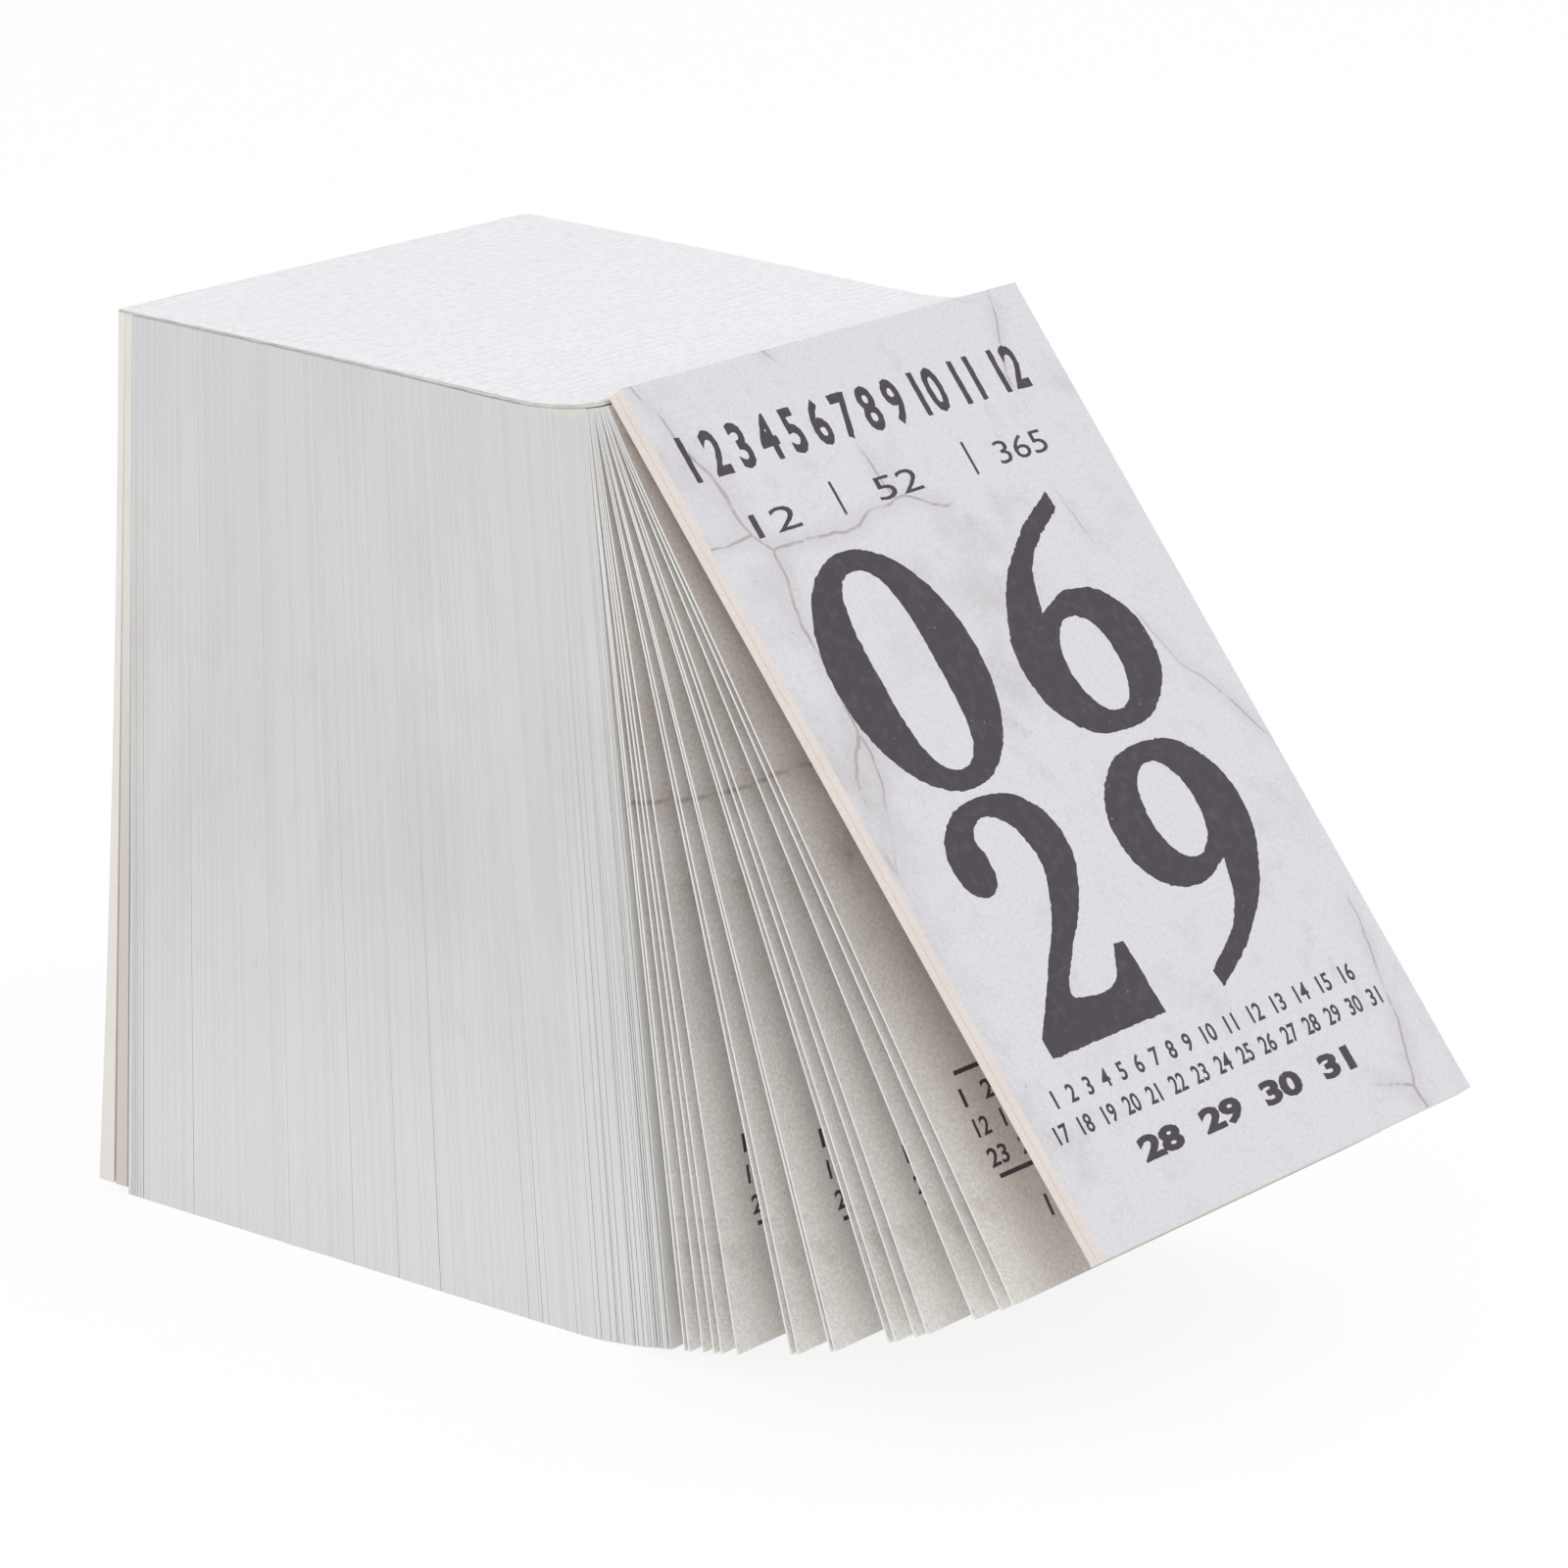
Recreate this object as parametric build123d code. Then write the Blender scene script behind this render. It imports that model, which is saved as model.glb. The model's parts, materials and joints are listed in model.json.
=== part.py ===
from build123d import *
import os
from math import atan, cos, radians, sin

# Tear-off day calendar: a pad of day leaves glued along its top edge, standing on its lower edges
# with the first leaves and the front cards fanned forward. X is the width, the front faces -Y.

# Leaves, one sheet of paper for each day of the year (millimetres)
LEAF_WIDTH = 56.0
LEAF_HEIGHT = 80.5
LEAF_THICKNESS = 0.12
LEAF_AIR = 0.0235        # air between two leaves at the spine
LEAF_JOG = 0.05          # most that one leaf stands out sideways from the pad
MONTH_DAYS = {
    "january": 31, "february": 28, "march": 31, "april": 30, "may": 31, "june": 30,
    "july": 31, "august": 31, "september": 30, "october": 31, "november": 30, "december": 31,
}

# Cards, two in front of the leaves and two behind them
CARD_THICKNESS = 0.8
CARD_AIR = 0.02          # air between two cards, or between a card and a leaf
BACK_CARDS = 2
FRONT_CARD_RISE = 0.65   # how much taller than a leaf the front cards are
BACK_CARD_TRIM = 0.6     # how much shorter than a leaf the back cards are

# Glued spine over the upper edges of the leaves
GLUE_THICKNESS = 0.3
GAUZE_THICKNESS = 0.2
SPINE_CLEARANCE = 0.08   # between the leaves and the glue, which gives as leaves turn
HINGE_CLEARANCE = 0.3    # between the front end of the spine and the front card
CURL_LENGTH = 10.0       # stretch at the front where the fanned leaves pull the spine up
CURL_RADIUS = 29.0

# Leans from upright, in degrees, positive where the lower edge stands forward
BLOCK_BACK_LEAN = 0.3    # last leaf of the closed block
BLOCK_FRONT_LEAN = 7.0   # first leaf of the closed block
LOOSE_FRONT_LEAN = 8.4   # first of the loosened leaves in front of the block
LOOSE_DAYS = 15          # leaves that are loosened but not fanned
BACK_CARD_SPLAY = 0.85   # each back card stands this much further back than the sheet before it
BLOCK_CLUMPING = 5       # the higher, the more the closed leaves stand in clumps
LOOSE_CLUMPING = 2       # the same for the loosened leaves
FAN_GAPS = (             # lean that each fanned leaf gains on the one behind it, from the pad on
    0.93, 0.23, 0.92, 0.75, 0.45, 1.15, 3.99, 0.40, 2.44,
    0.20, 4.03, 0.47, 1.40, 0.86, 3.60, 2.03, 0.93,
)
FRONT_CARD_GAP = 6.0     # between the first leaf and the front card

# Sizes that follow
DAYS = sum(MONTH_DAYS.values())
FANNED_DAYS = len(FAN_GAPS)
OPENED_DAYS = FANNED_DAYS + LOOSE_DAYS
LEAF_PITCH = LEAF_THICKNESS + LEAF_AIR
CARD_PITCH = CARD_THICKNESS + CARD_AIR
BACK_CARDS_DEPTH = BACK_CARDS * CARD_PITCH
BLOCK_DEPTH = (DAYS - OPENED_DAYS) * LEAF_PITCH
SPINE_DEPTH = BACK_CARDS_DEPTH + DAYS * LEAF_PITCH
CURL_START = SPINE_DEPTH - CURL_LENGTH
GLUE_TOP = SPINE_CLEARANCE + GLUE_THICKNESS
GAUZE_TOP = GLUE_TOP + GAUZE_THICKNESS
FRONT_CARD_HEIGHT = LEAF_HEIGHT + FRONT_CARD_RISE
BACK_CARD_HEIGHT = LEAF_HEIGHT - BACK_CARD_TRIM

# Uneven but fixed values for leaves that are never quite alike
SCATTER_STRIDE = 12.9898  # two numbers with no pattern in common, which spread scatter's values
SCATTER_GAIN = 43758.5453


def scatter(number):
    """A fixed, uneven value from 0 to 1 for each whole number."""
    return sin(number * SCATTER_STRIDE) * SCATTER_GAIN % 1


def even_lean(distance):
    """Lean of the closed block, in radians, if its spread were even along the spine."""
    share = (distance - BACK_CARDS_DEPTH) / BLOCK_DEPTH
    return radians(BLOCK_BACK_LEAN + share * (BLOCK_FRONT_LEAN - BLOCK_BACK_LEAN))


def standing_top(lean):
    """Height of a leaf's upper front edge while its lower edge stands on the table."""
    return LEAF_HEIGHT * cos(lean) + LEAF_THICKNESS * max(sin(lean), 0)


def spine_point(distance, height=0.0):
    """(y, z) at a distance along the spine from its back, and a height above the leaf tops."""
    flat = min(distance, CURL_START)
    lean = even_lean(flat)
    lean_rate = even_lean(1) - even_lean(0)
    y = -flat
    z = standing_top(lean)
    slope = atan(-LEAF_HEIGHT * sin(lean) * lean_rate)
    if distance > CURL_START:
        end_slope = slope + (distance - CURL_START) / CURL_RADIUS
        y -= CURL_RADIUS * (sin(end_slope) - sin(slope))
        z += CURL_RADIUS * (cos(slope) - cos(end_slope))
        slope = end_slope
    return y + height * sin(slope), z + height * cos(slope)


def sheet(top_front, lean, thickness, height, jog=0.0):
    """A flat sheet that hangs from its upper front edge at (y, z) and leans by some degrees."""
    y, z = top_front
    tilt = radians(lean)
    foot = (jog, y - height * sin(tilt), z - height * cos(tilt))
    place = Plane(origin=foot, x_dir=(1, 0, 0), z_dir=(0, sin(tilt), cos(tilt)))
    return place * Box(LEAF_WIDTH, thickness, height, align=(Align.CENTER, Align.MIN, Align.MIN))


def leaf_distance(day):
    """Where the front face of a day's leaf meets the spine, measured from the back."""
    return BACK_CARDS_DEPTH + (DAYS - day + 1) * LEAF_PITCH


def all_leaf_leans():
    """Lean of every leaf by its day of the year: closed and loosened ones in clumps, then the fan."""
    leans = {}
    lean = BLOCK_BACK_LEAN
    closed = (DAYS, OPENED_DAYS, BLOCK_FRONT_LEAN, BLOCK_CLUMPING)
    loosened = (OPENED_DAYS, FANNED_DAYS, LOOSE_FRONT_LEAN, LOOSE_CLUMPING)
    for start, end, front_lean, clumping in (closed, loosened):
        shares = {day: scatter(day) ** clumping for day in range(start, end, -1)}
        spread = (front_lean - lean) / sum(shares.values())
        for day, share in shares.items():
            lean += spread * share
            leans[day] = lean
    for day, gap in zip(range(FANNED_DAYS, 0, -1), FAN_GAPS):
        lean += gap
        leans[day] = lean
    return leans


LEANS = all_leaf_leans()
FRONT_CARD_LEAN = LEANS[1] + FRONT_CARD_GAP


def leaf_top(day):
    """Upper front edge of a leaf, where it turns in the glue."""
    distance = leaf_distance(day)
    y, z = spine_point(distance)
    if day > OPENED_DAYS:
        z += LEAF_HEIGHT * (cos(radians(LEANS[day])) - cos(even_lean(distance)))
    return y, z


def leaf(day):
    """One day's leaf, standing out a little to one side as cut sheets do."""
    jog = LEAF_JOG * (2 * scatter(day + DAYS) - 1)
    return sheet(leaf_top(day), LEANS[day], LEAF_THICKNESS, LEAF_HEIGHT, jog)


def front_card_edge(depth):
    """Upper edge of the front cards, a depth forward of the inner card's inner face."""
    y, z = spine_point(SPINE_DEPTH + HINGE_CLEARANCE, GAUZE_TOP)
    tilt = radians(FRONT_CARD_LEAN)
    return y - depth * cos(tilt), z + depth * sin(tilt)


def front_sheet(depth):
    """One of the two front cards, its outer face a depth forward of the inner card's inner face."""
    return sheet(front_card_edge(depth), FRONT_CARD_LEAN, CARD_THICKNESS, FRONT_CARD_HEIGHT)


def back_sheet(number):
    """A back card, counted backwards from the one that lies against the leaves."""
    top = spine_point(BACK_CARDS_DEPTH - (number - 1) * CARD_PITCH - CARD_AIR)
    lean = BLOCK_BACK_LEAN - number * BACK_CARD_SPLAY
    return sheet(top, lean, CARD_THICKNESS, BACK_CARD_HEIGHT)


def spine_strip(low, high):
    """A layer of the spine between two heights above the leaf tops, up to its curled front end."""
    def edge(height, start, end):
        stops = (start, (start + end) / 2, end)
        return ThreePointArc(*[(-LEAF_WIDTH / 2, *spine_point(stop, height)) for stop in stops])

    edges = []
    for start, end in ((0, CURL_START), (CURL_START, SPINE_DEPTH)):
        edges += [edge(low, start, end), edge(high, start, end)]
    for stop in (0, SPINE_DEPTH):
        edges.append(Line(*[(-LEAF_WIDTH / 2, *spine_point(stop, height)) for height in (low, high)]))
    return extrude(make_face(edges), amount=LEAF_WIDTH, dir=(1, 0, 0))


nodes = {
    "back_cover": [back_sheet(BACK_CARDS)],
    "back_inner_card": [back_sheet(1)],
    "spine_glue": [spine_strip(SPINE_CLEARANCE, GLUE_TOP)],
    "spine_gauze": [spine_strip(GLUE_TOP, GAUZE_TOP)],
    "front_inner_card": [front_sheet(CARD_THICKNESS)],
    "front_cover": [front_sheet(CARD_THICKNESS + CARD_PITCH)],
}

# Leaves: the fanned ones by their day, the closed ones gathered by month
day = 0
for month, length in MONTH_DAYS.items():
    for date in range(1, length + 1):
        day += 1
        if day <= FANNED_DAYS:
            nodes[f"leaf_{month}_{date:02d}"] = [leaf(day)]
        else:
            nodes.setdefault(f"leaves_{month}", []).append(leaf(day))

# The frame's origin is on the table, midway between the front and back of the whole calendar
front = nodes["front_cover"][0].bounding_box().min.Y
back = nodes["back_cover"][0].bounding_box().max.Y
CENTRE = Location((0, -(front + back) / 2, 0))

os.makedirs("parts", exist_ok=True)
for name, solids in nodes.items():
    export_step(Compound(children=[CENTRE * solid for solid in solids], label=name), f"parts/{name}.step")
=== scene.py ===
import json
import math

import bmesh
import bpy
from mathutils import Matrix, Vector, geometry, noise

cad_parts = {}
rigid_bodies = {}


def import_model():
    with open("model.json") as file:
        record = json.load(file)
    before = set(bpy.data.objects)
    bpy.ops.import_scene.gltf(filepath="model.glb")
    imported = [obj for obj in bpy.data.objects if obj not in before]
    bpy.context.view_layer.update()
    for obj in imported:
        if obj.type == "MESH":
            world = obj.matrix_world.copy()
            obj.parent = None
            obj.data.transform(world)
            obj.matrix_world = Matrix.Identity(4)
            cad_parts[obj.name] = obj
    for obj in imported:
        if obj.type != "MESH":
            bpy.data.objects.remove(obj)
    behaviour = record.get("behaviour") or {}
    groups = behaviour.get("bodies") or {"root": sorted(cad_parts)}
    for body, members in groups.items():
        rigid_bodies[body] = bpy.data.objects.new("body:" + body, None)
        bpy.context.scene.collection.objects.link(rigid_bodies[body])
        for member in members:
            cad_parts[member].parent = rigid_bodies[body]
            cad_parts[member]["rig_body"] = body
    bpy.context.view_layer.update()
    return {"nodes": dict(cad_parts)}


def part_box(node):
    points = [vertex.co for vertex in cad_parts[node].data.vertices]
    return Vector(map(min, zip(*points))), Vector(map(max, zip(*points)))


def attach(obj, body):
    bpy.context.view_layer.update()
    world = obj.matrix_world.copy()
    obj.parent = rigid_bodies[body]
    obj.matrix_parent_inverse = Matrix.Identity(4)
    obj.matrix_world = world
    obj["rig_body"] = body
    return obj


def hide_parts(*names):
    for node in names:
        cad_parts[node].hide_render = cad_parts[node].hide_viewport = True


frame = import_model()


# Back cards: two plain sheets of thick card, the outer one pale and the inner one tan. They are
# held by the spine glue along their upper edges and have soft, swollen feet that fill the gaps.
SAME_POINT = 1e-6  # points of a CAD mesh that lie this near are one
SAME_FACE = math.radians(1)  # and faces that turn less than this are one
CARD_EDGE_ROUNDING = 0.00006
ROUNDING_STEPS = 2
ROUND_PROFILE = 0.5
CARD_ROWS = 12  # rows of faces down a card that swells
COVER_HOLLOW = 0.00045  # how far the back cover's rear face is hollowed halfway down
COVER_SWELL = 0.00095  # how much thicker it is at its foot
INNER_SWELL = 0.00055
CARD_SOAK = 0.0002  # how far the back cards reach up into the glue
PALE_CARD = (0.845, 0.81, 0.77, 1)
PALE_CARD_DEEP = (0.815, 0.778, 0.735, 1)
TAN_CARD = (0.825, 0.795, 0.755, 1)
TAN_CARD_FOOT = (0.645, 0.59, 0.535, 1)
TAN_CARD_DEEP = (0.775, 0.74, 0.695, 1)
TAN_HEIGHTS = (0.070, 0.025)  # the tan card darkens from the upper height to the lower one
TAN_SHARE = 0.85  # and this far at most
PAPER_ROUGHNESS = 0.85
SPECULAR = 0.25
FIBRE_SIZE = 2600.0  # patches to a metre, as in every pattern of noise
FELT = (4.0, 0.6)  # detail and roughness of the fibres' pattern
LUMPS = (180.0, 3.0, 0.55)  # scale, detail and roughness of a broader pattern under it
LUMP_SHARE = 0.3
TONE_STEP = (0.35, 0.65)  # where a pattern goes from one tone to the other
FIBRE_DEPTH = 0.00003


def add_node(tree, kind, sockets=None, **settings):
    """One node, its sockets set to values or linked to other sockets."""
    made = tree.nodes.new(kind)
    for name, value in settings.items():
        setattr(made, name, value)
    for name, value in (sockets or {}).items():
        if isinstance(value, bpy.types.NodeSocket):
            tree.links.new(value, made.inputs[name])
        else:
            made.inputs[name].default_value = value
    return made


def result_of(tree, kind, sockets=None, **settings):
    """The first output of one new node."""
    return add_node(tree, kind, sockets, **settings).outputs[0]


def calc(tree, operation, *values):
    """The result of one arithmetic step on values or sockets."""
    return result_of(tree, "ShaderNodeMath", dict(enumerate(values)), operation=operation)


def product(tree, value, *factors):
    """Values or sockets multiplied one after another."""
    for factor in factors:
        value = calc(tree, "MULTIPLY", value, factor)
    return value


def mix_colour(tree, share, base, other):
    """A colour between two others, by a share from 0 to 1."""
    return add_node(tree, "ShaderNodeMix", {0: share, 6: base, 7: other}, data_type="RGBA").outputs[2]


def ramp(tree, value, low, high):
    """A smooth 0 to 1 step where a value passes from low to high."""
    sockets = {"Value": value, "From Min": low, "From Max": high}
    return result_of(tree, "ShaderNodeMapRange", sockets, interpolation_type="SMOOTHSTEP")


def noise_node(tree, vector, scale, detail, roughness):
    """A soft pattern from 0 to 1."""
    sockets = {"Vector": vector, "Scale": scale, "Detail": detail, "Roughness": roughness}
    return result_of(tree, "ShaderNodeTexNoise", sockets)


def split_vector(tree, vector):
    """The parts of a vector by their axes."""
    return add_node(tree, "ShaderNodeSeparateXYZ", {0: vector}).outputs


def object_place(tree):
    return add_node(tree, "ShaderNodeTexCoord").outputs["Object"]


def new_group(kind, name, inputs, outputs):
    """An empty node group with its named sockets, and what it is given and has to put out."""
    tree = bpy.data.node_groups.new(name, kind)
    for side, sockets in (("INPUT", inputs), ("OUTPUT", outputs)):
        for socket, value in sockets.items():
            tree.interface.new_socket(socket, in_out=side, socket_type="NodeSocket" + value)
    return tree, add_node(tree, "NodeGroupInput").outputs, add_node(tree, "NodeGroupOutput").inputs


def new_material(name, roughness):
    """A material with a plain finish, and the tree that gives it its looks."""
    made = bpy.data.materials.new(name)
    made.use_nodes = True
    shader = made.node_tree.nodes["Principled BSDF"]
    shader.inputs["Roughness"].default_value = roughness
    shader.inputs["Specular IOR Level"].default_value = SPECULAR
    return made, made.node_tree


def finish_surface(tree, colour, height, depth):
    """Colour and a fine bump for one material."""
    shader = tree.nodes["Principled BSDF"]
    tree.links.new(colour, shader.inputs["Base Color"])
    bump = result_of(tree, "ShaderNodeBump", {"Height": height, "Strength": 1.0, "Distance": depth})
    tree.links.new(bump, shader.inputs["Normal"])


def fibre_group():
    """Felted paper fibres, shared by every card and leaf."""
    tree, given, out = new_group("ShaderNodeTree", "paper_fibre", {"Vector": "Vector", "Fibre Size": "Float"},
                                 {"Tone": "Float", "Height": "Float"})
    felt = noise_node(tree, given["Vector"], given["Fibre Size"], *FELT)
    lumps = product(tree, noise_node(tree, given["Vector"], *LUMPS), LUMP_SHARE)
    tree.links.new(calc(tree, "MULTIPLY_ADD", felt, 1 - LUMP_SHARE, lumps), out["Tone"])
    tree.links.new(felt, out["Height"])
    return tree


paper_fibre = fibre_group()


def fibre(tree, place, size):
    """Tone and height of the fibres at each place."""
    sockets = {"Vector": place, "Fibre Size": size}
    return add_node(tree, "ShaderNodeGroup", sockets, node_tree=paper_fibre).outputs


def card_material(name, light, deep, foot=None):
    """Uncoated card with felted fibres, its tone drifting a little and, if foot is set, towards its foot."""
    made, tree = new_material(name, PAPER_ROUGHNESS)
    place = object_place(tree)
    felted = fibre(tree, place, FIBRE_SIZE)
    colour = mix_colour(tree, ramp(tree, felted["Tone"], *TONE_STEP), deep, light)
    if foot:
        # the tan card darker towards its foot
        darker_to_foot = product(tree, ramp(tree, split_vector(tree, place)["Z"], *TAN_HEIGHTS), TAN_SHARE)
        colour = mix_colour(tree, darker_to_foot, colour, foot)
    finish_surface(tree, colour, felted["Height"], FIBRE_DEPTH)
    return made


def cad_shape(node):
    """A copy of a CAD node's mesh with its loose triangles merged."""
    shape = bmesh.new()
    shape.from_mesh(frame["nodes"][node].data)
    bmesh.ops.remove_doubles(shape, verts=shape.verts, dist=SAME_POINT)
    return shape


def bend_card(shape, swell, hollow):
    """Swells a card's front face towards its foot, and hollows its rear face halfway down."""
    heights = [vert.co.z for vert in shape.verts]
    top = max(heights)
    drop = top - min(heights)
    upright = [edge for edge in shape.edges if abs(edge.verts[0].co.z - edge.verts[1].co.z) > drop / 2]
    bmesh.ops.subdivide_edges(shape, edges=upright, cuts=CARD_ROWS - 1, use_grid_fill=True)
    shape.normal_update()
    for vert in shape.verts:
        share = (top - vert.co.z) / drop
        vert.co.z += CARD_SOAK * (1 - share)
        if vert.normal.y < 0:
            vert.co.y -= swell * share
        else:
            vert.co.y -= 4 * hollow * share * (1 - share)


def card_piece(node, name, materials, choose=None, swell=0.0, hollow=0.0):
    """A card with softened cut edges, in the place of its CAD node. choose picks a face's material."""
    shape = cad_shape(node)
    bmesh.ops.dissolve_limit(shape, angle_limit=SAME_FACE, verts=shape.verts, edges=shape.edges)
    bmesh.ops.bevel(shape, geom=shape.edges, offset=CARD_EDGE_ROUNDING, segments=ROUNDING_STEPS,
                    profile=ROUND_PROFILE, affect="EDGES")
    if swell:
        bend_card(shape, swell, hollow)
    bmesh.ops.recalc_face_normals(shape, faces=shape.faces)
    mesh = bpy.data.meshes.new(name)
    for material in materials:
        mesh.materials.append(material)
    if choose:
        for face in shape.faces:
            face.material_index = choose(face.normal)
    shape.to_mesh(mesh)
    shape.free()
    if "custom_normal" in mesh.attributes:
        mesh.attributes.remove(mesh.attributes["custom_normal"])
    made = bpy.data.objects.new(name, mesh)
    bpy.context.collection.objects.link(made)
    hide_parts(node)
    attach(made, frame["nodes"][node]["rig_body"])
    return made


pale_card = card_material("pale_card", PALE_CARD, PALE_CARD_DEEP)
tan_card = card_material("tan_card", TAN_CARD, TAN_CARD_DEEP, TAN_CARD_FOOT)
card_piece("back_cover", "back_cover_card", [pale_card], swell=COVER_SWELL, hollow=COVER_HOLLOW)
card_piece("back_inner_card", "back_inner_card_sheet", [tan_card], swell=INNER_SWELL)


# Closed leaves: 348 sheets of uncoated paper stacked by month, seen as cut edges. The cutter
# leaves a burr that closes most hairline gaps, and the print that runs off marks the edges.
LEAF_WIDTH = 0.056
LEAF_LENGTH = 0.0805
EDGES = ("top_front", "top_back", "foot_front", "foot_back")
STACK_ROWS = 9  # points down and across a closed leaf
STACK_COLUMNS = 3
RIPPLE = 0.0004  # how far a closed leaf ripples at its foot
RIPPLES = (60.0, 2.0, 0.5)  # scale, detail and roughness
RIPPLE_LEVEL = 0.2  # value of that pattern where a leaf keeps its place
PAPER_SEED = 0.0
BOW_REACH = 0.3  # share of a loose leaf's length that bows, from the glue down
BOW_GAIN = 27 / 4  # brings the highest point of the bow's curve to 1
BURR_FILL = 0.96  # share of a gap between two leaves that the burred edges close
PARTING = 0.00006  # least gap at the foot that may stay open as a hairline
HAIRLINE = 0.00007  # the most that it stays open in the stack, and near the fan
HAIRLINE_BEFORE = 0.00017
HAIRLINE_RISE = 4  # how late it widens towards the fan, as a power
HAIRLINE_SCATTER = 0.5
PARTED_BEHIND = 0.07  # share of such gaps that stay open in the stack, and near the fan
PARTED_BEFORE = 0.95
PARTED_LAST = 0.55  # and among the last leaves
PARTED_DEPTH = 0.016
DRAW_ROWS = (7.5, 9.5)  # rows of fixed cells that give each leaf its chance and its scatter
JOG_KEPT = 0.5
SPLAYED_LEAVES = 10  # the last leaves, which hang back towards the cards
SPLAY = 0.00035  # and how far the last of them does so at its foot
TOP_SOAK = 0.00011  # how far the upper edges reach into the glue that soaks them
GLUE_THINNING = 0.00014  # how much thinner the glue is at the back, where they reach higher
THINNING_DEPTH = 0.048  # y where it is thinnest, from nothing at the middle of the frame
EDGE_ROUGHNESS = 0.8
EDGE_DEPTH = 0.00001
# painted shade: the closed stack's edge tones are greyed well below the loose leaves' white, for the shade in
# the fine gaps between the leaves
SHADED_PAPER_WHITE = (0.715, 0.71, 0.708, 1)
SHADED_PAPER_STREAK = (0.655, 0.648, 0.648, 1)
PAPER_COOL = (0.675, 0.675, 0.708, 1)
# painted light thrown up by the floor onto the foot of the edges
PAPER_FOOT_FLOOR_LIGHT = (0.775, 0.772, 0.772, 1)
EDGE_MARK = (0.46, 0.42, 0.43, 1)
SOAKED_PAPER = (0.74, 0.735, 0.63, 1)
LEAF_FACE = (0.80, 0.785, 0.755, 1)
LEAF_FACE_DEEP = (0.74, 0.72, 0.69, 1)
STREAKS = ((20, 1900, 25), 5.0, 0.75)  # scale along x, y and z, detail and roughness
DRIFT = ((60, 160, 40), 3.0, 0.6)
CLOUDS = ((30, 70, 45), 3.0, 0.55, (3, 5, 1))  # and a shift
RAGS = ((60, 500, 170), 4.0, 0.7)
DRIFT_SHARE = 0.65
EDGE_STEP = (0.34, 0.66)
CLOUD_STEP = (0.42, 0.62)
RAG_STEP = (0.48, 0.72)
COOL_SHARE = 0.7
FOOT_HEIGHTS = (0.040, 0.004)  # painted light from the floor: the edges grow paler from the upper height to the lower one
FOOT_SHARE = 0.75
EDGE_BANDS = (  # height, reach and strength of each
    (0.0525, 0.0036, 0.15), (0.0245, 0.0028, 0.19), (0.0385, 0.0045, 0.07),
)
BAND_WANDER = 0.006
SOAK_DROPS = (0.0014, 0.0006)  # the glue tints the edges from the first drop up, and fully from the second
SOAK_DEPTHS = (0.010, 0.000)  # and only near the front, from the first y to the second
SOAK_WANDER = 0.0008
SOAK_SHARE = 0.7
BLOCK_BACK = 0.0506  # y of the last leaf's upper edge
BLOCK_TILT = 0.0052  # slope of the last leaf
BLOCK_SPREAD = 2.46  # slope gained for each metre towards the front


def join_vector(tree, x, y, z):
    return result_of(tree, "ShaderNodeCombineXYZ", {0: x, 1: y, 2: z})


def vector_node(tree, operation, vector, other):
    """A vector scaled by a number, or joined with another vector by one arithmetic step."""
    sockets = {0: vector, "Scale" if operation == "SCALE" else 1: other}
    return result_of(tree, "ShaderNodeVectorMath", sockets, operation=operation)


def mapped(tree, vector, scale=(1, 1, 1), shift=(0, 0, 0)):
    """Coordinates stretched along each axis and shifted, for a pattern with its own direction and place."""
    return result_of(tree, "ShaderNodeMapping", {"Vector": vector, "Location": shift, "Scale": scale})


def carried(tree, name):
    """A value that a mesh carries by name, for its material."""
    return add_node(tree, "ShaderNodeAttribute", attribute_name=name).outputs["Fac"]


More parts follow.
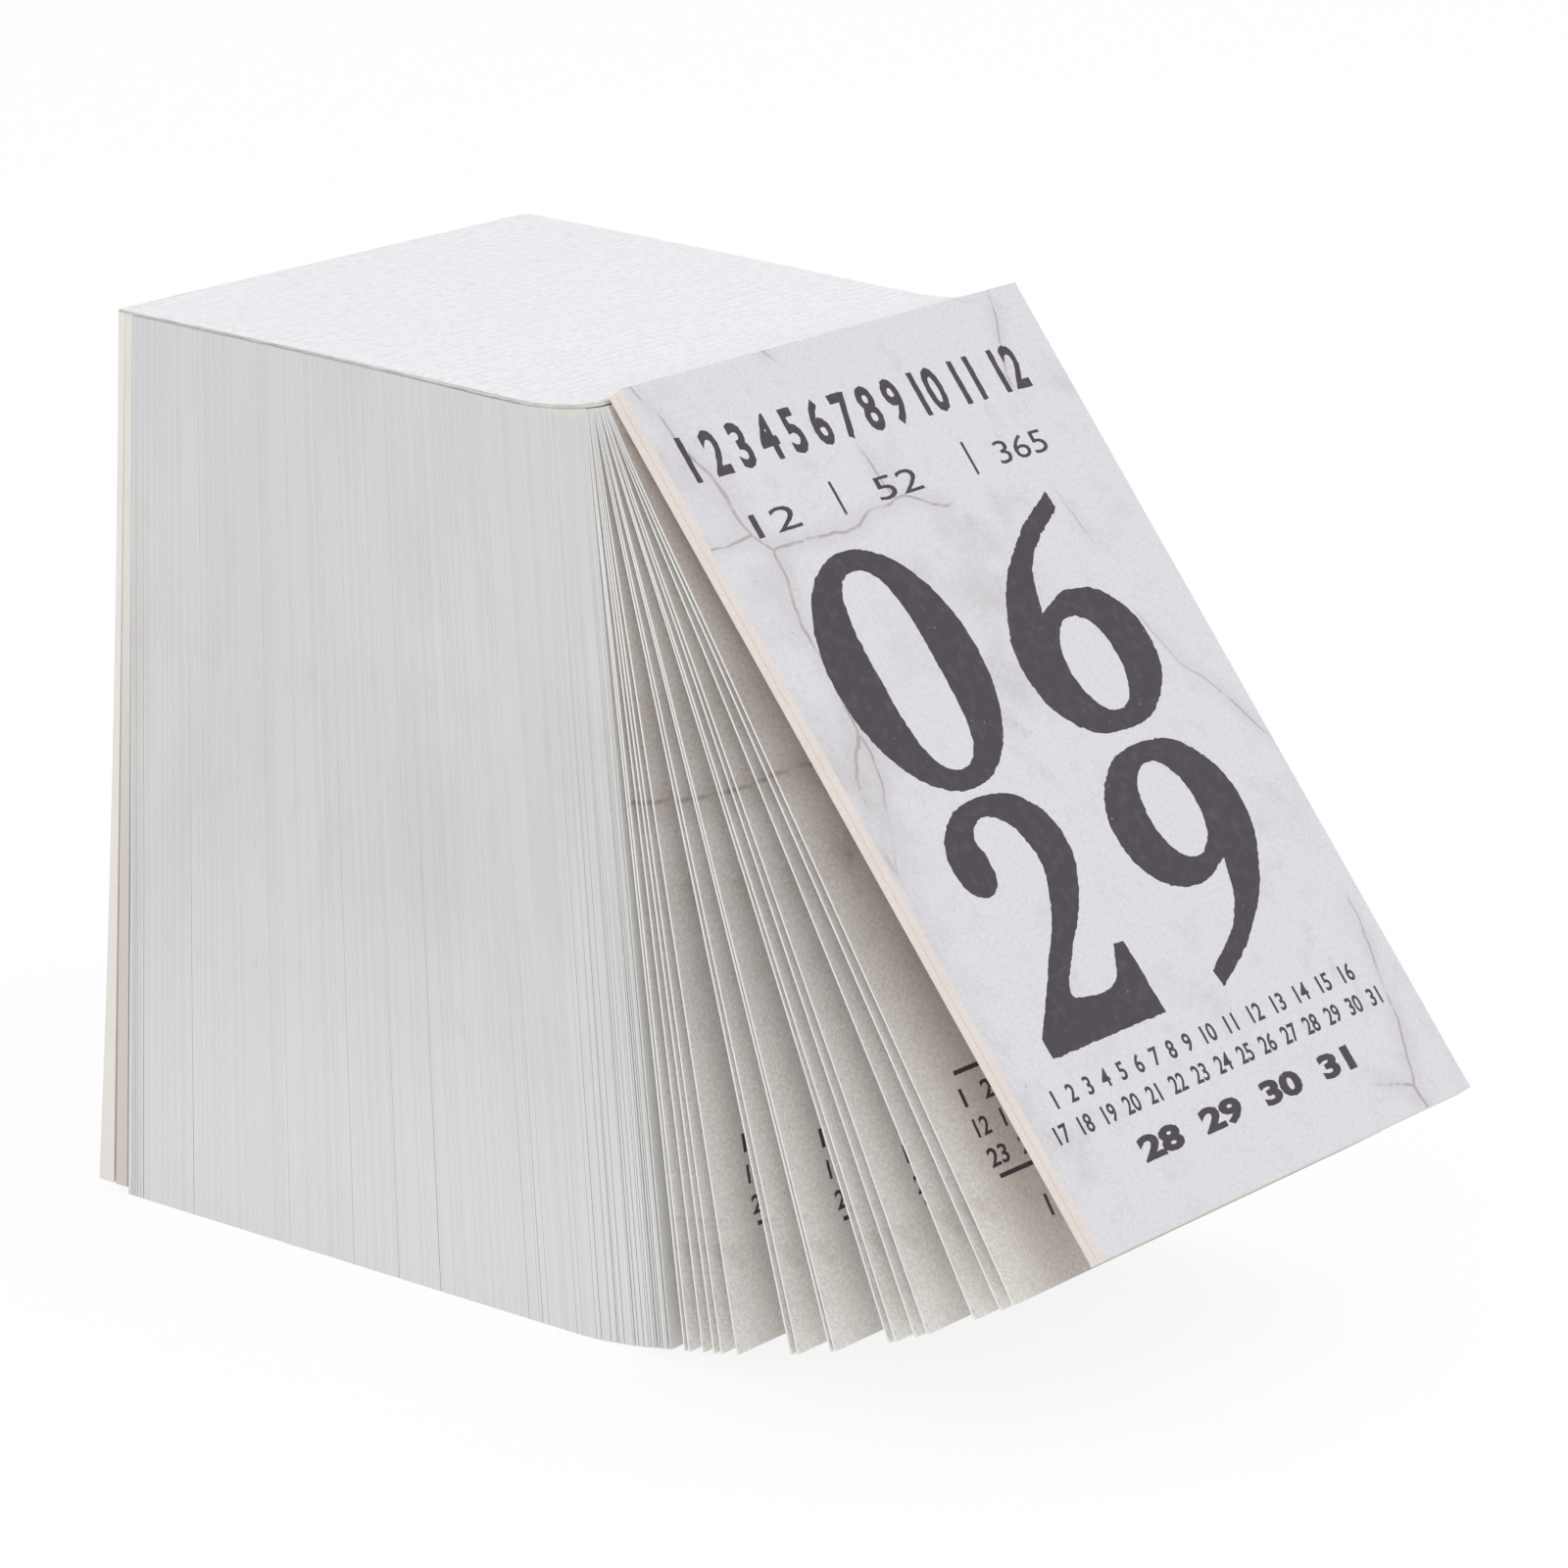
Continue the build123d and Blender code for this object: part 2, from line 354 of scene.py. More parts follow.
def page_edge_material():
    """Cut edges greyed with painted shade of the gaps between the leaves and paler at the foot with painted
    light from the floor, with streaks along the leaves, cool clouds, bands of print that runs off, and soaked
    glue.
    """
    made, tree = new_material("page_edges", EDGE_ROUGHNESS)
    axes = split_vector(tree, object_place(tree))
    hang = calc(tree, "SUBTRACT", LEAF_LENGTH, axes["Z"])
    lean = calc(tree, "MULTIPLY_ADD", hang, BLOCK_TILT + BLOCK_BACK * BLOCK_SPREAD, axes["Y"])
    spread = calc(tree, "MULTIPLY_ADD", hang, BLOCK_SPREAD, 1.0)
    place = join_vector(tree, axes["X"], calc(tree, "DIVIDE", lean, spread), axes["Z"])

    def pattern(scale, detail, roughness, shift=(0, 0, 0)):
        """Noise that follows the spread leaves."""
        return noise_node(tree, mapped(tree, place, scale, shift), 1.0, detail, roughness)

    streaks = pattern(*STREAKS)
    drift = pattern(*DRIFT)
    tone = calc(tree, "MULTIPLY_ADD", drift, DRIFT_SHARE, product(tree, streaks, 1 - DRIFT_SHARE))
    # painted shade: the grey of the gaps between the closed leaves, streaked
    colour = mix_colour(tree, ramp(tree, tone, *EDGE_STEP), SHADED_PAPER_STREAK, SHADED_PAPER_WHITE)
    cooled = product(tree, ramp(tree, pattern(*CLOUDS), *CLOUD_STEP), COOL_SHARE)
    colour = mix_colour(tree, cooled, colour, PAPER_COOL)
    # painted light from the floor, paler towards the foot
    floor_lit = product(tree, ramp(tree, axes["Z"], *FOOT_HEIGHTS), FOOT_SHARE)
    colour = mix_colour(tree, floor_lit, colour, PAPER_FOOT_FLOOR_LIGHT)
    ragged = ramp(tree, pattern(*RAGS), *RAG_STEP)
    for height, reach, strength in EDGE_BANDS:
        middle = calc(tree, "MULTIPLY_ADD", drift, BAND_WANDER, height - BAND_WANDER / 2)
        off = calc(tree, "ABSOLUTE", calc(tree, "SUBTRACT", axes["Z"], middle))
        band = product(tree, ramp(tree, off, reach, 0.0), ragged, strength)
        colour = mix_colour(tree, band, colour, EDGE_MARK)
    drop = calc(tree, "MULTIPLY_ADD", streaks, SOAK_WANDER, carried(tree, "drop"))
    soaked = product(tree, ramp(tree, drop, *SOAK_DROPS), ramp(tree, axes["Y"], *SOAK_DEPTHS), SOAK_SHARE)
    colour = mix_colour(tree, soaked, colour, SOAKED_PAPER)
    finish_surface(tree, colour, streaks, EDGE_DEPTH)
    return made


def named(tree, name, kind="FLOAT_VECTOR"):
    """A value that a geometry carries by name, inside its tree."""
    return result_of(tree, "GeometryNodeInputNamedAttribute", {"Name": name}, data_type=kind)


def store(tree, geometry, name, value, kind="FLOAT", domain="POINT"):
    """The geometry with a value that it carries by name."""
    sockets = {"Geometry": geometry, "Name": name, "Value": value}
    return result_of(tree, "GeometryNodeStoreNamedAttribute", sockets, data_type=kind, domain=domain)


def mix_vector(tree, share, first, second):
    return add_node(tree, "ShaderNodeMix", {0: share, 4: first, 5: second}, data_type="VECTOR").outputs[1]


def paper_leaf_tree():
    """Sheets of paper: each point carries the four long edges of a sheet, and a thin box is bent to them."""
    tree, given, out = new_group("GeometryNodeTree", "paper_leaves", {
        "Leaves": "Geometry", "Width": "Float", "Rows": "Int", "Columns": "Int", "Wave": "Float",
        "Bow": "Float", "Bow Reach": "Float", "Seed": "Float", "Paper": "Material", "Front": "Material",
    }, {"Sheets": "Geometry"})
    blank = result_of(tree, "GeometryNodeMeshCube", {
        "Size": (1, 1, 1), "Vertices X": given["Columns"], "Vertices Y": 2, "Vertices Z": given["Rows"],
    })
    here = result_of(tree, "GeometryNodeInputPosition")
    facing = split_vector(tree, result_of(tree, "GeometryNodeInputNormal"))["Y"]
    blank = store(tree, blank, "local", here, "FLOAT_VECTOR")
    blank = store(tree, blank, "front", product(tree, facing, -1.0), "FLOAT", "FACE")
    laid = result_of(tree, "GeometryNodeInstanceOnPoints", {"Points": given["Leaves"], "Instance": blank})
    sheets = result_of(tree, "GeometryNodeRealizeInstances", {"Geometry": laid})

    local = split_vector(tree, named(tree, "local"))
    across = product(tree, local["X"], given["Width"])
    behind = calc(tree, "ADD", local["Y"], 0.5)
    down = calc(tree, "SUBTRACT", 0.5, local["Z"])
    faces = []
    for side in ("front", "back"):
        faces.append(mix_vector(tree, down, named(tree, "top_" + side), named(tree, "foot_" + side)))
    flat = mix_vector(tree, behind, *faces)
    away = calc(tree, "DIVIDE", down, given["Bow Reach"])
    left = calc(tree, "MAXIMUM", calc(tree, "SUBTRACT", 1.0, away), 0.0)
    bowed = product(tree, left, left, away, BOW_GAIN, given["Bow"])
    seeded = vector_node(tree, "ADD", flat, join_vector(tree, across, given["Seed"], 0.0))
    ripple = calc(tree, "SUBTRACT", noise_node(tree, seeded, *RIPPLES), RIPPLE_LEVEL)
    ripple = product(tree, ripple, given["Wave"], down)
    moved = join_vector(tree, across, calc(tree, "ADD", bowed, ripple), 0.0)
    sockets = {"Geometry": sheets, "Position": vector_node(tree, "ADD", flat, moved)}
    sheets = result_of(tree, "GeometryNodeSetPosition", sockets)
    sheets = store(tree, sheets, "drop", product(tree, down, LEAF_LENGTH))

    for name in EDGES + ("local",):
        sheets = result_of(tree, "GeometryNodeRemoveAttribute", {"Geometry": sheets, "Name": name})
    printed = result_of(tree, "FunctionNodeCompare", {0: named(tree, "front", "FLOAT"), 1: 0.5},
                        data_type="FLOAT", operation="GREATER_THAN")
    for chosen, material in ((True, given["Paper"]), (printed, given["Front"])):
        sockets = {"Geometry": sheets, "Selection": chosen, "Material": material}
        sheets = result_of(tree, "GeometryNodeSetMaterial", sockets)
    tree.links.new(sheets, out["Sheets"])
    return tree


def from_tree(name, start_mesh, node_tree, values):
    """A plain mesh object made by a geometry tree from a starting mesh and named values."""
    made = bpy.data.objects.new(name, start_mesh)
    bpy.context.collection.objects.link(made)
    modifier = made.modifiers.new("shape", "NODES")
    modifier.node_group = node_tree
    for item in node_tree.interface.items_tree:
        if item.in_out == "INPUT" and item.name in values:
            modifier[item.identifier] = values[item.name]
    seen = made.evaluated_get(bpy.context.evaluated_depsgraph_get())
    mesh = bpy.data.meshes.new_from_object(seen)
    made.modifiers.clear()
    made.data = mesh
    return made


def leaf_edges(node):
    """The four long edges of each sheet in a CAD node, from the front one to the last."""
    shape = cad_shape(node)
    waiting = set(shape.verts)
    found = []
    while waiting:
        reach = [waiting.pop()]
        for vert in reach:
            for edge in vert.link_edges:
                other = edge.other_vert(vert)
                if other in waiting:
                    waiting.remove(other)
                    reach.append(other)
        points = sorted((vert.co.copy() for vert in reach), key=lambda co: co.z)
        foot = sorted(points[:4], key=lambda co: co.y)
        top = sorted(points[4:], key=lambda co: co.y)
        pairs = (top[:2], top[2:], foot[:2], foot[2:])
        found.append({name: (pair[0] + pair[1]) / 2 for name, pair in zip(EDGES, pairs)})
    shape.free()
    return sorted(found, key=lambda leaf: leaf["top_front"].y)


paper_leaves = paper_leaf_tree()


def paper_piece(name, leaves, values):
    """Sheets of paper, bent by the tree to their edges, which are (y, z) with a sideways jog as x."""
    points = bpy.data.meshes.new(name + "_points")
    points.from_pydata([(0, 0, 0)] * len(leaves), [], [])
    for edge in EDGES:
        kept = points.attributes.new(edge, "FLOAT_VECTOR", "POINT")
        kept.data.foreach_set("vector", [value for leaf in leaves for value in leaf[edge]])
    values.update({"Width": LEAF_WIDTH, "Bow Reach": BOW_REACH, "Seed": PAPER_SEED})
    made = from_tree(name, points, paper_leaves, values)
    made.data.attributes.remove(made.data.attributes["front"])
    return made


def foot_fill(number, gap, nearness):
    """Share of the gap behind a leaf's foot that the burr closes, less where the leaves have parted."""
    parted = PARTED_BEHIND + (PARTED_BEFORE - PARTED_BEHIND) * nearness
    if number >= len(stack) - SPLAYED_LEAVES:
        parted = PARTED_LAST
    chance, scatter = (noise.cell(Vector((number + 0.5, row, 0.5))) for row in DRAW_ROWS)
    if gap <= PARTING or chance * 0.5 + 0.5 >= parted:
        return BURR_FILL
    opened = HAIRLINE + (HAIRLINE_BEFORE - HAIRLINE) * nearness ** HAIRLINE_RISE
    return min(BURR_FILL, 1 - min(gap, opened * (1 + HAIRLINE_SCATTER * scatter)) / gap)


page_edges = page_edge_material()
leaf_face = card_material("leaf_face", LEAF_FACE, LEAF_FACE_DEEP)
stack = []
for node in frame["nodes"]:
    if node.startswith("leaves_"):
        stack += [(node, leaf) for leaf in leaf_edges(node)]
stack.sort(key=lambda item: item[1]["top_front"].y)
stack_front = stack[0][1]["top_front"].y
for number, (node, leaf) in enumerate(stack[-SPLAYED_LEAVES:], 1):
    for edge in ("foot_front", "foot_back"):
        leaf[edge].y += SPLAY * (number / SPLAYED_LEAVES) ** 2
for number, (node, leaf) in enumerate(stack):
    for edge in EDGES:
        leaf[edge].x *= JOG_KEPT
        if edge.startswith("top"):
            thinned = min(max(leaf[edge].y / THINNING_DEPTH, 0), 1)
            leaf[edge].z += TOP_SOAK + GLUE_THINNING * thinned
    if number + 1 < len(stack):
        next_leaf = stack[number + 1][1]
        gap = (next_leaf["foot_front"] - leaf["foot_back"]).length
        nearness = max(0.0, 1 - (leaf["top_front"].y - stack_front) / PARTED_DEPTH)
        fill = foot_fill(number, gap, nearness)
        leaf["top_back"] = leaf["top_back"].lerp(next_leaf["top_front"], BURR_FILL)
        leaf["foot_back"] = leaf["foot_back"].lerp(next_leaf["foot_front"], fill)
for node in sorted({node for node, leaf in stack}):
    leaves = [leaf for owner, leaf in stack if owner == node]
    piece = paper_piece(node.replace("leaves", "page_stack"), leaves, {
        "Rows": STACK_ROWS, "Columns": STACK_COLUMNS, "Wave": RIPPLE, "Bow": 0.0,
        "Paper": page_edges, "Front": leaf_face,
    })
    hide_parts(node)
    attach(piece, "pad")


# Spine: a coat of padding glue over the upper edges, and white gauze bedded in it.
# Both are laid over the CAD strip by one tree, which presses the weave into the upper one.
SPINE_WIDTH = 0.05588
SPINE_TRIM = 2e-5  # how much shorter than the CAD strip a layer is
GLUE_LAYER = 0.0003
GLUE_STEP = 0.0006  # between the points of the layer, as for the gauze below
GLUE_WANDER = 0.008  # how far the cut sides stray, as a share of the width
GLUE_SEED = 3.0
GAUZE_LAYER = 0.0002
GAUZE_STEP = 0.00025
GAUZE_WANDER = 0.005
GAUZE_SEED = 8.0
SIDE_STRAY = (420.0, 3.0, 0.6)  # scale, detail and roughness
DROP_HEIGHT = 0.2  # from where the layer is dropped onto the strip
WELD = 1e-7
THREAD_PITCH = 0.00105
THREAD_RELIEF = 0.00013
THREAD_STRAY = (260.0, 2.0, 0.5)
STRAY_PITCHES = 1.6
THREADS = (("X", (0.1, 0, 0)), ("Y", (0, 0.3, 0)))  # axis across each set of threads, and its pattern's shift
PRESSING = (300.0, 2.0, 0.5)
PRESSED_STEP = (0.30, 0.62)
RELIEF_BEHIND = 0.4  # share of the relief that is left at the back
RIM_WIDTH = 0.0007
RIM_DROP = 0.00013
GLUE_ROUGHNESS = 0.42
GLUE_DEPTH = 0.00004
GLUE_COLOUR = (0.60, 0.608, 0.56, 1)
GLUE_PALE = (0.70, 0.71, 0.66, 1)
GLUE_FRONT = (0.74, 0.735, 0.63, 1)
GLUE_LUMPS = (700.0, 4.0, 0.6)
GLUE_FRONT_DEPTHS = (0.004, -0.002)  # y where the glue begins to show pale towards the front, and is full
GLUE_FRONT_WANDER = 0.004
GLUE_FRONT_SHARE = 0.7
FILM_ROUGHNESS = 0.6
FILM_DEPTH = 0.0003
FILM_WHITE = (0.94, 0.945, 0.972, 1)
# the film's grey tone, and painted shade in the hollows of the weave
FILM_GREY_AND_HOLLOW_SHADE = (0.885, 0.89, 0.92, 1)
CREPE = (1100.0, 1.0, 0.5)
CREPE_SHARE = 0.8
DUST = (420.0, 3.0, 0.5)
THREAD_SHADE_SHARE = 0.26
FILM_STEP = (0.32, 0.56)


def spine_layer_tree():
    """A layer laid over a strip, with straying sides, a woven relief on top and a lowered rim."""
    tree, given, out = new_group("GeometryNodeTree", "spine_layer", {
        "Strip": "Geometry", "Width": "Float", "Depth": "Float", "Middle": "Float", "Step": "Float",
        "Thickness": "Float", "Thread Pitch": "Float", "Relief": "Float", "Edge Wander": "Float",
        "Rim": "Float", "Rim Drop": "Float", "Thinning": "Float", "Seed": "Float", "Material": "Material",
    }, {"Layer": "Geometry"})
    grid = result_of(tree, "GeometryNodeMeshGrid", {
        "Size X": given["Width"], "Size Y": given["Depth"],
        "Vertices X": calc(tree, "DIVIDE", given["Width"], given["Step"]),
        "Vertices Y": calc(tree, "DIVIDE", given["Depth"], given["Step"]),
    })
    here = result_of(tree, "GeometryNodeInputPosition")
    axes = split_vector(tree, here)

    def set_position(geometry, position):
        return result_of(tree, "GeometryNodeSetPosition", {"Geometry": geometry, "Position": position})

    def towards_back(front, back):
        """A value that goes from one to the other along the rear half of the strip."""
        sockets = {"Value": axes["Y"], "From Max": THINNING_DEPTH, "To Min": front, "To Max": back}
        return result_of(tree, "ShaderNodeMapRange", sockets)

    seeded = join_vector(tree, given["Seed"], axes["Y"], axes["X"])
    stray = calc(tree, "SUBTRACT", noise_node(tree, seeded, *SIDE_STRAY), 0.5)
    wider = calc(tree, "MULTIPLY_ADD", product(tree, stray, given["Edge Wander"]), 2.0, 1.0)
    middle = calc(tree, "ADD", axes["Y"], given["Middle"])
    raised = set_position(grid, join_vector(tree, product(tree, axes["X"], wider), middle, DROP_HEIGHT))
    struck = add_node(tree, "GeometryNodeRaycast", {
        "Target Geometry": given["Strip"], "Source Position": join_vector(tree, 0.0, axes["Y"], DROP_HEIGHT),
        "Ray Direction": (0, 0, -1), "Ray Length": 1.0,
    }, data_type="FLOAT_VECTOR").outputs
    fallen = split_vector(tree, struck["Hit Position"])
    thickness = calc(tree, "SUBTRACT", given["Thickness"], towards_back(0.0, given["Thinning"]))
    sunk = vector_node(tree, "SCALE", struck["Hit Normal"], product(tree, thickness, -1.0))
    laid = join_vector(tree, axes["X"], fallen["Y"], fallen["Z"])
    bottom = set_position(raised, vector_node(tree, "ADD", laid, sunk))
    sockets = {"Mesh": bottom, "Offset Scale": thickness, "Individual": False}
    risen = add_node(tree, "GeometryNodeExtrudeMesh", sockets).outputs

    weave = []
    for axis, shift in THREADS:
        stray = noise_node(tree, vector_node(tree, "ADD", here, shift), *THREAD_STRAY)
        turn = calc(tree, "DIVIDE", axes[axis], given["Thread Pitch"])
        turn = calc(tree, "MULTIPLY_ADD", stray, STRAY_PITCHES, turn)
        wave = calc(tree, "COSINE", product(tree, turn, math.pi))
        weave.append(calc(tree, "ABSOLUTE", wave))
    crossing = calc(tree, "SUBTRACT", calc(tree, "ADD", *weave), 4 / math.pi)
    pressed = ramp(tree, noise_node(tree, here, *PRESSING), *PRESSED_STEP)
    weave_height = product(tree, pressed, towards_back(1.0, RELIEF_BEHIND), crossing)
    lift = product(tree, weave_height, given["Relief"])
    centred = calc(tree, "SUBTRACT", axes["Y"], given["Middle"])
    for spot, size in ((axes["X"], given["Width"]), (centred, given["Depth"])):
        half = calc(tree, "DIVIDE", size, 2.0)
        inset = calc(tree, "SUBTRACT", half, calc(tree, "ABSOLUTE", spot))
        near = calc(tree, "SUBTRACT", 1.0, ramp(tree, inset, 0.0, given["Rim"]))
        lift = calc(tree, "SUBTRACT", lift, product(tree, near, given["Rim Drop"]))
    outward = result_of(tree, "GeometryNodeInputNormal")
    woven = result_of(tree, "GeometryNodeSetPosition", {
        "Geometry": store(tree, risen["Mesh"], "weave", weave_height), "Selection": risen["Top"],
        "Offset": vector_node(tree, "SCALE", outward, lift),
    })

    joined = add_node(tree, "GeometryNodeJoinGeometry")
    for half in (result_of(tree, "GeometryNodeFlipFaces", {0: bottom}), woven):
        tree.links.new(half, joined.inputs[0])
    sockets = {"Geometry": joined.outputs[0], "Distance": WELD}
    layer = result_of(tree, "GeometryNodeMergeByDistance", sockets)
    layer = result_of(tree, "GeometryNodeSetShadeSmooth", {"Geometry": layer})
    layer = result_of(tree, "GeometryNodeRealizeInstances", {"Geometry": layer})
    sockets = {"Geometry": layer, "Material": given["Material"]}
    tree.links.new(result_of(tree, "GeometryNodeSetMaterial", sockets), out["Layer"])
    return tree


spine_layer = spine_layer_tree()


def spine_piece(node, name, values):
    """One layer of the spine in the place of its CAD strip."""
    low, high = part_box(node)
    depth = high.y - low.y - SPINE_TRIM
    values.update({"Width": SPINE_WIDTH, "Depth": depth, "Middle": (high.y + low.y) / 2, "Rim": RIM_WIDTH})
    made = from_tree(name, frame["nodes"][node].data.copy(), spine_layer, values)
    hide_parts(node)
    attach(made, "pad")
    return made


def glue_material():
    """Dried glue, uneven in tone and paler where it shows at the front."""
    made, tree = new_material("padding_glue", GLUE_ROUGHNESS)
    place = object_place(tree)
    thick = noise_node(tree, place, *GLUE_LUMPS)
    colour = mix_colour(tree, ramp(tree, thick, *TONE_STEP), GLUE_COLOUR, GLUE_PALE)
    ahead = calc(tree, "MULTIPLY_ADD", thick, GLUE_FRONT_WANDER, split_vector(tree, place)["Y"])
    pale = product(tree, ramp(tree, ahead, *GLUE_FRONT_DEPTHS), GLUE_FRONT_SHARE)
    finish_surface(tree, mix_colour(tree, pale, colour, GLUE_FRONT), thick, GLUE_DEPTH)
    return made


def film_material():
    """White gauze filled with glue, creped all over and lighter on its threads, with painted shade in the
    hollows between them.
    """
    made, tree = new_material("gauze_film", FILM_ROUGHNESS)
    place = object_place(tree)
    crepe = product(tree, noise_node(tree, place, *CREPE), CREPE_SHARE)
    tone = calc(tree, "MULTIPLY_ADD", noise_node(tree, place, *DUST), 1 - CREPE_SHARE, crepe)
    # painted shade: the weave's hollows darker, its threads lighter
    tone = calc(tree, "MULTIPLY_ADD", carried(tree, "weave"), THREAD_SHADE_SHARE, tone)
    colour = mix_colour(tree, ramp(tree, tone, *FILM_STEP), FILM_GREY_AND_HOLLOW_SHADE, FILM_WHITE)
    finish_surface(tree, colour, tone, FILM_DEPTH)
    return made


spine_piece("spine_glue", "spine_glue_coat", {
    "Step": GLUE_STEP, "Thickness": GLUE_LAYER, "Thread Pitch": THREAD_PITCH, "Relief": 0.0, "Rim Drop": 0.0,
    "Edge Wander": GLUE_WANDER, "Thinning": GLUE_THINNING, "Seed": GLUE_SEED, "Material": glue_material(),
})
spine_piece("spine_gauze", "spine_gauze_film", {
    "Step": GAUZE_STEP, "Thickness": GAUZE_LAYER, "Thread Pitch": THREAD_PITCH, "Relief": THREAD_RELIEF,
    "Rim Drop": RIM_DROP, "Edge Wander": GAUZE_WANDER, "Thinning": 0.0, "Seed": GAUZE_SEED,
    "Material": film_material(),
})


# Fanned leaves: the first 17 sheets, loosened so that they hang forward one by one. Each is thin
# printed paper, white at its cut edges, and bows a little where the glue holds its upper edge.
LEAF_ROWS = 21  # points down and across a loose leaf
LEAF_COLUMNS = 2
BOW_STEP = 0.000012  # how much more each leaf bows than the one behind it, so that they nest
LEAF_WHITE = (0.93, 0.925, 0.91, 1)
LEAF_WHITE_DEEP = (0.89, 0.88, 0.86, 1)
LOOSE_DROPS = (0.002, 0.014)  # its edge keeps the stack's painted shade down to the first, and is white at the second
LEAF_ROUGHNESS = 0.8
LEAF_WEAR = 1.8
LEAF_GRAIN = 0.15
LEAF_SHIFT = (0.27, 0.77, 0.42)
LEAF_GROUND = (0.64, 0.595, 0.565, 1)
LEAF_STAIN = (0.43, 0.325, 0.30, 1)
LEAF_HINGE_SHADE = (0.43, 0.325, 0.285, 1)
HINGE_SHADE_DROPS = (0.034, 0.010)  # painted shade: the ground darkens towards the glue, where the leaves lie close, from the first distance to the second
HINGE_SHADE_SHARE = 0.6
# painted light where it comes in between the fanned leaves
LEAF_LIT_EDGE = (0.90, 0.882, 0.84, 1)
LIT_EDGE_WIDTHS = (0.0200, 0.0270)  # painted light: it grows paler between these distances from the middle line, where light comes in between the leaves and most so in the lower part of the leaf, where the fan stands open
LIT_EDGE_DROPS = (0.030, 0.070)  # and most so in the lower part of the leaf
LIT_EDGE_ABOVE = 0.45
WORN_RIM = 0.00012  # width along a cut edge where the print has rubbed off
CRACK_TINT = (0.33, 0.27, 0.26, 1)
PRINT_DEPTH = 0.00002
# Patterns of the printed plaster, as scale, detail and roughness, then where each sets in and how strongly
PATCHES = (42.0, 5.0, 0.62)
PATCH_STEP = (0.52, 0.76)
PATCH_SHARE = 0.55
MOTTLE = (330.0, 4.0, 0.65)
MOTTLE_SHIFT = (0.3, 0.1, 0.2)
MOTTLE_STEP = (0.50, 0.80)
MOTTLE_SHARE = 0.30
SMUDGES = (105.0, 6.0, 0.72)
SMUDGE_SHIFT = (0.7, 0.5, 0.9)
SMUDGE_STEP = (0.60, 0.72)
SMUDGE_GRAIN = (0.36, 0.60)
SMUDGE_SHARE = 0.62
CRACK_BENDS = (48.0, 4.0, 0.45)
CRACK_BEND = 0.012
CRACK_SCALE = 24.0
CRACK_STEP = (0.0052, 0.0012)
CRACK_FADE = (0.30, 0.50)
CRACK_SHARE = 0.6
HALO_STEP = (0.05, 0.0)
HALO_SHARE = 0.22
TEARS = (55.0, 2.0, 0.5)
TEAR_STEP = (0.47, 0.58)
SPECKS = (1100.0, 3.0, 0.6)
SPECK_STEP = (0.68, 0.75)
SPECK_FADE = (0.46, 0.62)
SPECK_SHARE = 0.5
GRAIN = (4200.0, 3.0, 0.7)
COARSE_GRAIN = (2400.0, 3.0, 0.65)
GRAIN_STEP = (0.34, 0.66)
# Ink and the rows of print, in millimetres from a sheet's upper left corner
INK = (0.056, 0.046, 0.058, 1)
INK_WORN = (0.085, 0.070, 0.082, 1)
INK_WEAR = (900.0, 4.0, 0.65)
INK_STEP = (0.45, 0.75)
BARE_SPOTS = (2600.0, 2.0, 0.5)
BARE_STEP = (0.755, 0.80)
INK_ROUGHNESS = 0.5
INK_BUMP = 0.00001  # metres
MILLIMETRES = 1000  # in a metre
INK_DEPTH = 0.009  # half of it above the paper
ROUGHNESS = 0.024  # how far an outline strays, as a share of a figure's height
NUMERAL_ROUGHNESS = 0.2  # and the most that it does
OUTLINE_STEP = 0.4  # between the points of an outline
STRAYS = ((1.3, 0.5), (4.7, 0.6))  # waves to a millimetre and strength of what moves them
PRINT_SEED = 7
MARK_POINT = 1e-4  # points of a mark that lie this near, in millimetres, are one
CUT_POINT = 1e-5  # the same where marks are cut along a row, or their triangles are joined
FIGURE_STEPS = 3  # least steps in a figure's curve, and the height that asks for one more
STEP_HEIGHT = 2.0
LEAF_MONTHS = (5.5, 9.4, 2.6, 45.0, 0.01)  # left end, base line, height, width and weight of a row of figures
LEAF_DATE = (11.0, 46.0, 28.0, 34.0, 0.03)
LEAF_DAYS = (  # first and last day of each row, and its place
    (1, 11, 4.8, 64.3, 1.7, 38.0, 0.02),
    (12, 22, 4.8, 67.0, 1.7, 40.0, 0.02),
    (23, 31, 4.8, 69.7, 1.7, 38.0, 0.02),
)
LEAF_COUNT = (9.3, 75.2, 2.0, None, 0.03)
LEAF_RULES = ((5.2, 61.1, 50.3, 61.5), (5.2, 70.3, 50.3, 70.7))  # left, top, right and bottom


